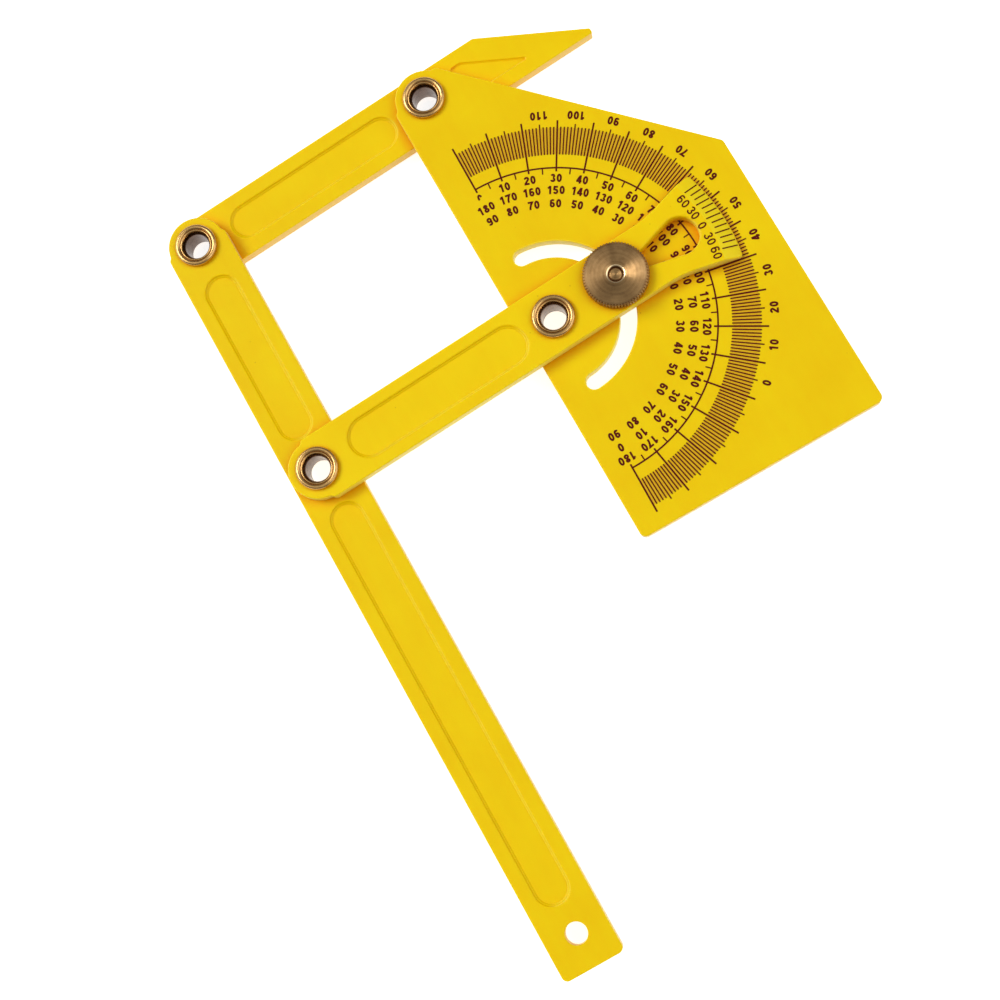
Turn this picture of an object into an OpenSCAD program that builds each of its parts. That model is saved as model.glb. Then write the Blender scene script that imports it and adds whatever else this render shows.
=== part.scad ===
// Angle finder with arms: a protractor plate and a long arm joined by two short arms.
// The four pivots form a parallelogram, so the long arm keeps its angle to the plate's scale.
// Origin: axis of the centre pivot, on the printed face of the plate.
// +Z points out of the printed face, +Y along the plate's long edge towards the top pivot.

/* [Linkage] */
// Distance between the two pivots of the plate, and between the two of the long arm
pivot_span = 61; // [56:0.5:80]
// Distance between the two pivots of each short arm
link_span = 62.5; // [56:0.5:80]
// Angle of the short arms above square to the plate's long edge
rest_tilt = 2.5; // [-45:0.25:45]
// Thickness of the plate and of the long arm, which share the middle layer
middle_t = 3.4; // [2.4:0.1:5]
// Thickness of the pointer arm in front
front_t = 3.4; // [2.4:0.1:5]
// Thickness of the tip arm behind
back_t = 3.4; // [2.4:0.1:5]
// Play between two layers
layer_gap = 0.05; // [0.02:0.01:0.1]

/* [Arms] */
// Width of the long arm and the tip arm
arm_w = 14.8; // [14:0.1:18]
// Radius of the rounded end round a pivot
knuckle_r = 6.8; // [6:0.1:6.9]
// Radius of the two shoulders beside a rounded end
shoulder_r = 0.5; // [0.1:0.1:0.6]
// Width of the shallow recess in the long arm and the tip arm
recess_w = 8; // [6:0.1:9]
// Depth of every recess
recess_d = 0.7; // [0.3:0.1:1]
// Distance from a pivot to the near end of a recess
recess_from = 8.8; // [7.5:0.1:12]

/* [Long arm] */
// Length of the long arm from its upper pivot to its square end
long_len = 185; // [150:1:240]
// Radius of the hanging hole
hang_r = 2.5; // [2:0.1:3]
// Distance from the square end to the centre of the hanging hole
hang_in = 8; // [6:0.1:12]
// Distance from the hanging hole's centre to the end of the lower recess
hang_recess = 7; // [5:0.1:12]
// Radius of the corners of the square end
end_corner_r = 1.4; // [0.5:0.1:3]

/* [Tip arm] */
// Reach of the tip past the top pivot
tip_reach = 41; // [36:0.1:60]
// Width left at the end of the tip
tip_blunt = 1.3; // [1:0.1:4]
// Angle between the two edges of the tip
tip_angle = 29.5; // [24:0.1:36]
// Width of solid plastic along the slanted edge of the tip
tip_margin = 5.3; // [3:0.1:6]
// Radius of the small corners of the tip
tip_corner_r = 0.5; // [0.2:0.1:0.8]
// Radius where the straight edge turns into the slanted edge
tip_bend_r = 2; // [1:0.5:5]

/* [Protractor plate] */
// Distance from the pivots to the plate's left edge
plate_left = 7.6; // [7:0.1:10]
// Distance from the centre pivot to the plate's right edge
plate_right = 53; // [50:0.5:70]
// Distance from the centre pivot to the plate's bottom edge
plate_bottom = 52.5; // [50:0.5:70]
// Distance that the slanted edge stands out past the top knuckle
slant_step = 1; // [0.2:0.05:1.2]
// Angle of the slanted edge to the plate's long edge
slant_angle = 46.5; // [42:0.5:48]
// Radius of the plate's corners
plate_corner_r = 1.5; // [0.5:0.1:4]
// Radius of the middle of the curved clamp slot
slot_r = 16.5; // [16:0.1:18]
// Width of the curved clamp slot
slot_w = 3.8; // [3.7:0.05:4.4]
// Reading at the upper end of the slot
slot_start = 2.5; // [0:0.5:10]
// Reading at the lower end of the slot
slot_end = 177.5; // [170:0.5:180]

/* [Pointer arm] */
// Width of the pointer arm
pointer_w = 15.2; // [14:0.1:18]
// Radius of the fan's outer edge, from the centre pivot
fan_r = 44; // [42:0.1:48]
// Half of the fan's angle
fan_half = 14.8; // [14:0.1:18]
// Radius of the hollow curve between the arm's side and the fan
fan_blend_r = 25; // [10:1:40]
// Radius of the fan's two corners
fan_corner_r = 0.8; // [0.3:0.1:1.5]
// Width of the bevel along the fan's outer edge
bevel_w = 4.2; // [3:0.1:5]
// Thickness left at the fan's outer edge
bevel_t = 0.9; // [0.5:0.1:1.5]
// Radius of the window's outer end
window_r = 4.35; // [3.5:0.05:5]
// Distance from the centre pivot to the middle of the window's outer end
window_at = 33.2; // [31:0.1:34]
// Radius of the window's inner end
window_neck_r = 1.15; // [0.8:0.05:1.6]
// Distance from the bolt to the middle of the window's inner end
window_neck_at = 4.5; // [4:0.1:6]
// Width of the pointer arm's recess
pointer_recess_w = 9.5; // [7:0.1:10]
// Distance from the centre pivot to the near end of the pointer arm's recess
pointer_recess_from = 7.5; // [7:0.1:10]

/* [Eyelets] */
// Radius of the bore through an eyelet
eyelet_bore_r = 2.8; // [2.2:0.05:3]
// Wall of an eyelet's barrel
eyelet_wall = 0.4; // [0.25:0.05:0.6]
// Radius of an eyelet's rolled flange
flange_r = 5; // [4.6:0.05:5.5]
// Height of the rolled flange
flange_h = 1.2; // [0.8:0.05:1.4]
// Clearance round an eyelet's barrel
pivot_clear = 0.05; // [0.02:0.01:0.08]

/* [Clamp] */
// Radius of the bolt
bolt_r = 1.5; // [1.25:0.05:1.6]
// Clearance round the bolt
bolt_clear = 0.05; // [0.02:0.01:0.08]
// Side clearance of the bolt's square neck in the slot
neck_clear = 0.2; // [0.15:0.05:0.3]
// Distance that the neck stops short of the pointer arm
neck_short = 0.3; // [0.2:0.05:0.6]
// Radius of the bolt's head
head_r = 4; // [3.2:0.1:5]
// Height of the bolt's head
head_h = 1.5; // [1:0.1:2]
// Chamfer of the bolt's head and of its end
bolt_chamfer = 0.3; // [0.1:0.05:0.4]
// Distance that the bolt's end lies below the nut's top
bolt_sunk = 0.25; // [0.1:0.05:0.6]
// Radius of the thumb nut over its teeth
nut_r = 7.5; // [6.5:0.1:8]
// Height of the thumb nut
nut_h = 2.5; // [2:0.1:6]
// Number of teeth round the thumb nut
nut_teeth = 66; // [48:1:80]
// Depth of the teeth
tooth_d = 0.35; // [0.2:0.05:0.5]
// Chamfer round the nut's top and bottom
nut_chamfer = 0.6; // [0.2:0.05:0.8]
// Chamfer at the mouths of the nut's bore
bore_chamfer = 0.45; // [0.2:0.05:0.6]

/* [Hidden] */
$fn = 96;

// Overrun of every cut past the face that it starts from
over = 1;
// Overlap of a rounding circle with the edges it meets, so that they cross at a clear angle
lap = 0.005;

// Faces of the three layers, from the back up
middle_back = -middle_t;
front_back = layer_gap;
front_face = front_back + front_t;
back_face = middle_back - layer_gap;
back_back = back_face - back_t;

barrel_r = eyelet_bore_r + eyelet_wall;
pivot_hole_r = barrel_r + pivot_clear;
bolt_hole_r = bolt_r + bolt_clear;
neck_w = slot_w - 2 * neck_clear;

top_pivot = [0, pivot_span];
short_dir = [cos(rest_tilt), sin(rest_tilt)];
corner_pivot = top_pivot - link_span * short_dir;
lower_pivot = -link_span * short_dir;

// Direction at a reading, measured from +Y clockwise
function reading(a) = [sin(a), cos(a)];
function unit(v) = v / norm(v);
function before(pts, i) = pts[(i + len(pts) - 1) % len(pts)];
function after(pts, i) = pts[(i + 1) % len(pts)];
// Half of the inside angle at a corner
function half_angle(pts, i) =
    acos(unit(before(pts, i) - pts[i]) * unit(after(pts, i) - pts[i])) / 2;
function tangent_points(pts, i, r) =
    let (reach = r / tan(half_angle(pts, i)))
    [pts[i] + reach * unit(before(pts, i) - pts[i]), pts[i] + reach * unit(after(pts, i) - pts[i])];
function corner_centre(pts, i, r) =
    pts[i] + r / sin(half_angle(pts, i))
        * unit(unit(before(pts, i) - pts[i]) + unit(after(pts, i) - pts[i]));

// Outline with a true arc at each corner whose radius isn't zero
module soft_polygon(pts, radii) {
    last = len(pts) - 1;
    polygon([for (i = [0:last]) each radii[i] > 0 ? tangent_points(pts, i, radii[i]) : [pts[i]]]);
    for (i = [0:last])
        if (radii[i] > 0)
            translate(corner_centre(pts, i, radii[i])) circle(radii[i] - lap);
}

// Two circles on the X axis joined by their outer tangents
module two_circles(x_a, r_a, x_b, r_b) {
    lean = (r_b - r_a) / (x_b - x_a);
    rise = sqrt(1 - lean * lean);
    near = r_a - lap;
    wide = r_b - lap;
    polygon([[x_a - near * lean, -near * rise], [x_b - wide * lean, -wide * rise],
             [x_b - wide * lean, wide * rise], [x_a - near * lean, near * rise]]);
    translate([x_a, 0]) circle(r_a);
    translate([x_b, 0]) circle(r_b);
}

// Cuts a recess into the face at height face, between the ends x_a and x_b
module recess(face, x_a, x_b, width) {
    translate([0, 0, face - recess_d])
        linear_extrude(recess_d + over)
            two_circles(x_a + width / 2, width / 2, x_b - width / 2, width / 2);
}

module pivot_hole(place, low, high) {
    translate([place[0], place[1], low - over])
        cylinder(h = high - low + 2 * over, r = pivot_hole_r);
}

// Moves a shape drawn along +X from a pivot onto the short arms' direction
module along_short_arm(place) {
    translate([place[0], place[1], 0]) rotate([0, 0, rest_tilt]) children();
}

slant_normal = [sin(slant_angle), cos(slant_angle)];
slant_start = top_pivot + (knuckle_r + slant_step) * slant_normal;
slant_drop = (plate_right - slant_start[0]) * slant_normal[0] / slant_normal[1];
slant_end = [plate_right, slant_start[1] - slant_drop];

module clamp_slot() {
    depth = middle_t + 2 * over;
    translate([0, 0, middle_back - over]) {
        rotate([0, 0, 90 - slot_end])
            rotate_extrude(angle = slot_end - slot_start)
                translate([slot_r - slot_w / 2, 0]) square([slot_w, depth]);
        for (a = [slot_start, slot_end])
            translate(slot_r * reading(a)) cylinder(h = depth, r = slot_w / 2 + lap);
    }
}

module protractor_plate() {
    color([0.93, 0.79, 0.04])
    difference() {
        translate([0, 0, middle_back])
            linear_extrude(middle_t) {
                soft_polygon([[-plate_left, -plate_bottom], [plate_right, -plate_bottom], slant_end,
                              slant_start, top_pivot, [-plate_left, pivot_span]],
                             [plate_corner_r, plate_corner_r, plate_corner_r, shoulder_r, 0, shoulder_r]);
                translate(top_pivot) circle(knuckle_r);
            }
        clamp_slot();
        pivot_hole([0, 0], middle_back, 0);
        pivot_hole(top_pivot, middle_back, 0);
    }
}

// Where the tip's slanted edge leaves the straight edge, from the top pivot
tip_bend = tip_reach - (arm_w - tip_blunt) / tan(tip_angle);
// Place of the inner slanted line, along its normal
tip_inner = tip_bend * sin(tip_angle) + arm_w / 2 * cos(tip_angle) - tip_margin;
function tip_inner_x(y) = (tip_inner - y * cos(tip_angle)) / sin(tip_angle);
tip_inner_y = (tip_inner - recess_from * sin(tip_angle)) / cos(tip_angle);

// Four-sided, or three-sided where the slanted line leaves no straight upper side
module tip_recess() {
    side = recess_w / 2;
    lower = [[recess_from, -side], [tip_inner_x(-side), -side]];
    upper = tip_inner_x(side) > recess_from + 2 * tip_corner_r
        ? [[tip_inner_x(side), side], [recess_from, side]]
        : [[recess_from, tip_inner_y]];
    outline = concat(lower, upper);
    translate([0, 0, back_face - recess_d])
        linear_extrude(recess_d + over)
            soft_polygon(outline, [for (corner = outline) tip_corner_r]);
}

module tip_arm() {
    side = arm_w / 2;
    color([0.92, 0.76, 0.05])
    along_short_arm(top_pivot)
    difference() {
        translate([0, 0, back_back])
            linear_extrude(back_t) {
                soft_polygon([[-link_span, -side], [tip_reach, -side], [tip_reach, -side + tip_blunt],
                              [tip_bend, side], [-link_span, side]],
                             [shoulder_r, tip_corner_r, tip_corner_r, tip_bend_r, shoulder_r]);
                translate([-link_span, 0]) circle(knuckle_r);
            }
        recess(back_face, -link_span + recess_from, -recess_from, recess_w);
        tip_recess();
        pivot_hole([0, 0], back_back, back_face);
        pivot_hole([-link_span, 0], back_back, back_face);
    }
}

module long_arm() {
    side = arm_w / 2;
    color([0.93, 0.79, 0.04])
    translate([corner_pivot[0], corner_pivot[1], 0])
    rotate([0, 0, -90])
    difference() {
        translate([0, 0, middle_back])
            linear_extrude(middle_t) {
                soft_polygon([[0, -side], [long_len, -side], [long_len, side], [0, side]],
                             [shoulder_r, end_corner_r, end_corner_r, shoulder_r]);
                circle(knuckle_r);
            }
        recess(0, recess_from, pivot_span - recess_from, recess_w);
        recess(0, pivot_span + recess_from, long_len - hang_in - hang_recess, recess_w);
        pivot_hole([0, 0], middle_back, 0);
        pivot_hole([pivot_span, 0], middle_back, 0);
        translate([long_len - hang_in, 0, middle_back - over])
            cylinder(h = middle_t + 2 * over, r = hang_r);
    }
}

// Where the straight side would meet the fan's side, from the centre pivot
fan_join = pointer_w / 2 / tan(fan_half);
// Length that the hollow curve takes from each of the two sides
fan_blend = fan_blend_r * tan(fan_half / 2);

fan_dir = [cos(fan_half), sin(fan_half)];
blend_start = [fan_join - fan_blend, pointer_w / 2];
blend_end = [fan_join, pointer_w / 2] + fan_blend * fan_dir;

module hollow_curve() {
    translate([blend_start[0], blend_start[1] + fan_blend_r]) circle(fan_blend_r - lap);
}

module pointer_outline() {
    far = [2 * fan_r, 2 * fan_r * tan(fan_half)];
    upper = [[0, pointer_w / 2], blend_start, blend_end, far];
    lower = [for (i = [len(upper) - 1:-1:0]) [upper[i][0], -upper[i][1]]];
    side = pointer_w / 2;
    inside = blend_start[0] / 2;
    difference() {
        union() {
            soft_polygon([[-link_span, -side], [inside, -side], [inside, side], [-link_span, side]],
                         [shoulder_r, 0, 0, shoulder_r]);
            translate([-link_span, 0]) circle(knuckle_r);
            intersection() {
                circle(fan_r);
                polygon(concat(upper, lower));
            }
        }
        hollow_curve();
        mirror([0, 1]) hollow_curve();
        two_circles(slot_r + window_neck_at, window_neck_r, window_at, window_r);
    }
}

// Rounds off the fan's corner above the arm's axis
module fan_corner() {
    inset = fan_corner_r - lap;
    // Turn from the fan's side to the middle of the corner's arc, seen from the centre pivot
    turn = asin(inset / (fan_r - inset));
    middle = (fan_r - inset) * [cos(fan_half - turn), sin(fan_half - turn)];
    foot = (fan_r - inset) * cos(turn) * fan_dir;
    far = 2 * fan_r;
    translate([0, 0, front_back - over])
        difference() {
            linear_extrude(front_t + 2 * over)
                polygon([middle, foot, far * [cos(fan_half + turn), sin(fan_half + turn)],
                         far * [cos(fan_half - turn), sin(fan_half - turn)]]);
            translate([middle[0], middle[1], -over])
                cylinder(h = front_t + 4 * over, r = fan_corner_r);
        }
}

// Slopes the face down to the fan's outer edge, with overrun at both ends of the slope
module bevel() {
    fall = (front_t - bevel_t) / bevel_w;
    inner = [fan_r - bevel_w - over, front_face + fall * over];
    outer = [fan_r + over, front_back + bevel_t - fall * over];
    rotate([0, 0, -2 * fan_half])
        rotate_extrude(angle = 4 * fan_half)
            polygon([inner, outer, [outer[0], inner[1]]]);
}

module pointer_arm() {
    color([0.94, 0.81, 0.05])
    along_short_arm([0, 0])
    difference() {
        translate([0, 0, front_back]) linear_extrude(front_t) pointer_outline();
        fan_corner();
        mirror([0, 1, 0]) fan_corner();
        bevel();
        recess(front_face, -link_span + recess_from, -pointer_recess_from, pointer_recess_w);
        pivot_hole([0, 0], front_back, front_face);
        pivot_hole([-link_span, 0], front_back, front_face);
        translate([slot_r, 0, front_back - over])
            cylinder(h = front_t + 2 * over, r = bolt_hole_r);
    }
}

// Half profile of one rolled end, standing on the face at height 0
bead_r = flange_h / 2;
bead_at = flange_r - bead_r;
mouth_r = bead_at - eyelet_bore_r;
mouth_drop = mouth_r - flange_h;

module rolled_end_profile() {
    intersection() {
        translate([bead_at, -mouth_drop]) circle(mouth_r);
        union() {
            translate([eyelet_bore_r, -mouth_drop]) square([eyelet_wall, mouth_r]);
            translate([eyelet_bore_r, 0]) square([mouth_r, flange_h]);
        }
    }
    translate([bead_at, 0]) square([bead_r, bead_r]);
    translate([bead_at, bead_r]) circle(bead_r);
}

// Eyelet whose flanges rest on the faces at heights low and high
module eyelet(place, low, high) {
    color([0.78, 0.57, 0.3])
    translate([place[0], place[1], 0])
    rotate_extrude() {
        translate([eyelet_bore_r, low + mouth_drop])
            square([eyelet_wall, high - low - 2 * mouth_drop]);
        translate([0, high]) rolled_end_profile();
        translate([0, low]) mirror([0, 1]) rolled_end_profile();
    }
}

module top_eyelet() {
    eyelet(top_pivot, back_back - layer_gap, 0);
}

module corner_eyelet() {
    eyelet(corner_pivot, back_back, layer_gap);
}

module lower_eyelet() {
    eyelet(lower_pivot, middle_back - layer_gap, front_face);
}

module centre_eyelet() {
    eyelet([0, 0], middle_back, front_face + layer_gap);
}

nut_top = front_face + nut_h;
bolt_top = nut_top - bolt_sunk;

module clamp_bolt() {
    color([0.72, 0.55, 0.32])
    along_short_arm([0, 0])
    translate([slot_r, 0, 0]) {
        translate([0, 0, middle_back - head_h])
            cylinder(h = bolt_chamfer, r1 = head_r - bolt_chamfer, r2 = head_r);
        translate([0, 0, middle_back - head_h + bolt_chamfer])
            cylinder(h = head_h - bolt_chamfer, r = head_r);
        translate([-neck_w / 2, -neck_w / 2, middle_back])
            cube([neck_w, neck_w, middle_t - neck_short]);
        translate([0, 0, middle_back])
            cylinder(h = bolt_top - bolt_chamfer - middle_back, r = bolt_r);
        translate([0, 0, bolt_top - bolt_chamfer])
            cylinder(h = bolt_chamfer, r1 = bolt_r, r2 = bolt_r - bolt_chamfer);
    }
}

module toothed_outline() {
    step = 360 / nut_teeth;
    polygon([for (i = [0:nut_teeth - 1]) each
             [nut_r * reading(i * step), (nut_r - tooth_d) * reading((i + 1 / 2) * step)]]);
}

module thumb_nut() {
    color([0.72, 0.55, 0.32])
    along_short_arm([0, 0])
    translate([slot_r, 0, front_face])
    difference() {
        intersection() {
            linear_extrude(nut_h) toothed_outline();
            union() {
                cylinder(h = nut_h / 2, r1 = nut_r - nut_chamfer, r2 = nut_r - nut_chamfer + nut_h / 2);
                translate([0, 0, nut_h / 2])
                    cylinder(h = nut_h / 2, r1 = nut_r - nut_chamfer + nut_h / 2, r2 = nut_r - nut_chamfer);
            }
        }
        translate([0, 0, -over]) cylinder(h = nut_h + 2 * over, r = bolt_hole_r);
        translate([0, 0, nut_h - bore_chamfer])
            cylinder(h = bore_chamfer, r1 = bolt_hole_r, r2 = bolt_hole_r + bore_chamfer);
        cylinder(h = bore_chamfer, r1 = bolt_hole_r + bore_chamfer, r2 = bolt_hole_r);
    }
}

protractor_plate();
tip_arm();
long_arm();
pointer_arm();
top_eyelet();
corner_eyelet();
lower_eyelet();
centre_eyelet();
clamp_bolt();
thumb_nut();
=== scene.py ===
import math
import bpy
from mathutils import Matrix, Vector
from mathutils.geometry import delaunay_2d_cdt


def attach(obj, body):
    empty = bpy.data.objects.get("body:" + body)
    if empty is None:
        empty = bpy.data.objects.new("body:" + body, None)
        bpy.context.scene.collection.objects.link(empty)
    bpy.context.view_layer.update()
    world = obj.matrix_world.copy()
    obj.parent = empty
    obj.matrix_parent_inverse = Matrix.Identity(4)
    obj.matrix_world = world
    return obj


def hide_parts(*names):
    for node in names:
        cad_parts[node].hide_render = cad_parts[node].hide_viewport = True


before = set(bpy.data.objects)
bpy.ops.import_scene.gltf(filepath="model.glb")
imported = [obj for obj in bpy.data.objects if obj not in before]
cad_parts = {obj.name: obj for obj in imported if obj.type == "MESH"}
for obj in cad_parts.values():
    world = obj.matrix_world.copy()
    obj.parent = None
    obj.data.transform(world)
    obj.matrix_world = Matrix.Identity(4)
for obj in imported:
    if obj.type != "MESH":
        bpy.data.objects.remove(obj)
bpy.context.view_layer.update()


# Protractor plate: one flat yellow moulding that carries the scale, with rounded corners, a
# curved slot for the clamp bolt and small shoulders beside the knuckle of the top pivot.
# Injection moulded, so every edge is slightly rounded and the faces are smooth but not perfect.
mm = 0.001
layer_thick = 3.4
layer_gap = 0.05
plate_left = 7.6
plate_right = 53
plate_bottom = 52.5
pivot_span = 61
link_span = 62.5
rest_tilt = math.radians(2.5)
knuckle = 6.8
pivot_hole = 3.25
soft_edge = 0.3
hole_edge = 0.15
plate_corner = 1.5
slot_mid = 16.5
slot_half = 1.9

short_way = Vector((math.cos(rest_tilt), math.sin(rest_tilt)))
centre_pivot = Vector((0, 0))
top_pivot = Vector((0, pivot_span))
corner_pivot = top_pivot - link_span * short_way
lower_pivot = -link_span * short_way


def polar(centre, radius, degrees):
    turn = math.radians(degrees)
    return centre + radius * Vector((math.cos(turn), math.sin(turn)))


def arc(centre, radius, start, end, step=4):
    count = max(2, math.ceil(abs(end - start) / step))
    return [polar(centre, radius, start + (end - start) * i / count) for i in range(count + 1)]


def ring_of(centre, radius, clockwise=True, step=4):
    points = arc(centre, radius, 0, 360, step)[:-1]
    return points[::-1] if clockwise else points


def rounded(corners):
    """A loop through (point, radius) corners, each with its own arc."""
    loop = []
    for i, (point, radius) in enumerate(corners):
        if radius == 0:
            loop.append(point)
            continue
        back = (corners[i - 1][0] - point).normalized()
        ahead = (corners[(i + 1) % len(corners)][0] - point).normalized()
        half = back.angle(ahead) / 2
        middle = point + (back + ahead).normalized() * (radius / math.sin(half))
        first = point + back * (radius / math.tan(half)) - middle
        last = point + ahead * (radius / math.tan(half)) - middle
        turn = -first.angle_signed(last)
        steps = max(3, math.ceil(abs(math.degrees(turn)) / 6))
        for k in range(steps + 1):
            loop.append(middle + Matrix.Rotation(turn * k / steps, 2) @ first)
    return loop


def shifted(loop, distance, closed=True):
    """The loop moved sideways, to the left of its own direction."""
    moved = []
    last = len(loop) - 1
    for i, point in enumerate(loop):
        before = point - loop[i - 1] if closed or i > 0 else loop[1] - point
        after = loop[(i + 1) % len(loop)] - point if closed or i < last else point - loop[i - 1]
        one = Vector((-before.y, before.x)).normalized()
        two = Vector((-after.y, after.x)).normalized()
        moved.append(point + (one + two) * (distance / (1 + one.dot(two))))
    return moved


def on_face(spot, points, edges):
    """True between an outer ring and its holes: a line to the right crosses an odd number of edges."""
    crossed = 0
    for i, j in edges:
        a, b = points[i], points[j]
        if (a.y > spot.y) != (b.y > spot.y):
            crossed += a.x + (spot.y - a.y) / (b.y - a.y) * (b.x - a.x) > spot.x
    return crossed % 2 == 1


class Piece:
    """Gathers the rings and faces of one piece, in millimetres, and makes its object."""

    def __init__(self):
        self.points = []
        self.faces = []
        self.soft = []
        self.finish = []

    def ring(self, loop, height):
        first = len(self.points)
        for p in loop:
            self.points.append((p.x, p.y, height(p) if callable(height) else height))
        return list(range(first, len(self.points)))

    def face(self, corners, soft=True, finish=0):
        self.faces.append(corners)
        self.soft.append(soft)
        self.finish.append(finish)

    def band(self, low, high, soft=True, finish=0, closed=True):
        for i in range(len(low) if closed else len(low) - 1):
            j = (i + 1) % len(low)
            self.face((low[i], low[j], high[j], high[i]), soft, finish)

    def wall(self, loop, steps, finish=1):
        """Rings of the loop at (shift, height) steps from the bottom up; gives the first and last."""
        rings = [self.ring(shifted(loop, shift), height) for shift, height in steps]
        for low, high in zip(rings, rings[1:]):
            self.band(low, high, finish=finish)
        return rings[0], rings[-1]

    def fill(self, rings, up=True, soft=False, finish=0):
        """Flat face between an outer ring and the rings of its holes."""
        index = [i for ring in rings for i in ring]
        flat = [Vector(self.points[i][:2]) for i in index]
        edges = []
        start = 0
        for ring in rings:
            edges += [(start + k, start + (k + 1) % len(ring)) for k in range(len(ring))]
            start += len(ring)
        for tri in delaunay_2d_cdt(flat, edges, [], 1, 1e-7)[2]:
            a, b, c = (flat[k] for k in tri)
            if not on_face((a + b + c) / 3, flat, edges):
                continue
            corners = [index[k] for k in tri]
            if ((b - a).cross(c - a) > 0) != up:
                corners.reverse()
            self.face(corners, soft, finish)

    def done(self, name, finishes, body, slot, *nodes, sharp=None):
        mesh = bpy.data.meshes.new(name)
        mesh.from_pydata([Vector(p) * mm for p in self.points], [], self.faces)
        mesh.polygons.foreach_set("use_smooth", self.soft)
        mesh.polygons.foreach_set("material_index", self.finish)
        if sharp is not None:
            mesh.set_sharp_from_angle(angle=math.radians(sharp))
        for finish in finishes:
            mesh.materials.append(finish)
        mesh.update()
        piece = bpy.data.objects.new(name, mesh)
        bpy.context.scene.collection.objects.link(piece)
        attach(piece, body)
        if nodes:
            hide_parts(*nodes)


def edge_up(bottom, top, radius=soft_edge, steps=4):
    """Steps of an outer wall: rounded lower edge, wall, rounded upper edge."""
    turns = [math.pi / 2 * k / steps for k in range(steps + 1)]
    roof = top if callable(top) else lambda p: top
    low = [(radius * (1 - math.sin(a)), bottom + radius * (1 - math.cos(a))) for a in turns]
    high = [(radius * (1 - math.cos(a)), lambda p, a=a: roof(p) - radius * (1 - math.sin(a)))
            for a in turns]
    return low + high


class Wire:
    """A socket of a material, with arithmetic that adds Math nodes."""

    def __init__(self, bench, socket):
        self.bench = bench
        self.socket = socket

    def maths(self, operation, one, two):
        return self.bench.node("ShaderNodeMath", {"operation": operation}, {0: one, 1: two})

    def __add__(self, other):
        return self.maths("ADD", self, other)

    def __radd__(self, other):
        return self.maths("ADD", other, self)

    def __sub__(self, other):
        return self.maths("SUBTRACT", self, other)

    def __rsub__(self, other):
        return self.maths("SUBTRACT", other, self)

    def __mul__(self, other):
        return self.maths("MULTIPLY", self, other)

    def __rmul__(self, other):
        return self.maths("MULTIPLY", other, self)


class Bench:
    """Where one material, or the light of the room, is made."""

    def __init__(self, name, made=bpy.data.materials):
        self.made = made.new(name)
        self.made.use_nodes = True
        self.tree = self.made.node_tree
        self.tree.nodes.clear()

    def node(self, kind, settings=None, values=None, out=0):
        node = self.tree.nodes.new(kind)
        for key, value in (settings or {}).items():
            setattr(node, key, value)
        for key, value in (values or {}).items():
            if isinstance(value, Wire):
                self.tree.links.new(value.socket, node.inputs[key])
            else:
                node.inputs[key].default_value = value
        return Wire(self, node.outputs[out]) if node.outputs else None

    def mix(self, factor, one, two):
        return self.node("ShaderNodeMix", {"data_type": "RGBA"}, {0: factor, 6: one, 7: two}, 2)

    def noise(self, where, scale, detail=2, rough=0.5, seed=0):
        return self.node("ShaderNodeTexNoise", {"noise_dimensions": "4D"}, {
            "Vector": where, "W": seed, "Scale": scale, "Detail": detail, "Roughness": rough})

    def along(self, vector, way):
        """How far a vector goes along a direction."""
        return self.node("ShaderNodeVectorMath", {"operation": "DOT_PRODUCT"},
                         {0: vector, 1: way}, "Value")

    def unsigned(self, value):
        return self.node("ShaderNodeMath", {"operation": "ABSOLUTE"}, {0: value})

    def ramp(self, value, low, high):
        """0 up to low, 1 from high on, straight between."""
        return self.node("ShaderNodeMapRange", {"clamp": True},
                         {"Value": value, "From Min": low, "From Max": high})

    def place(self, scale=(1, 1, 1)):
        where = self.node("ShaderNodeTexCoord", out="Object")
        return self.node("ShaderNodeMapping", None, {"Vector": where, "Scale": scale})

    def close(self, shader, output="ShaderNodeOutputMaterial"):
        self.node(output, None, {"Surface": shader})
        return self.made


def paint(red, green, blue):
    """A colour as it looks on a screen, 0 to 255, for a shader socket."""
    shades = [c / 255 for c in (red, green, blue)]
    return tuple(c / 12.92 if c <= 0.04045 else ((c + 0.055) / 1.055) ** 2.4 for c in shades) + (1,)


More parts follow.
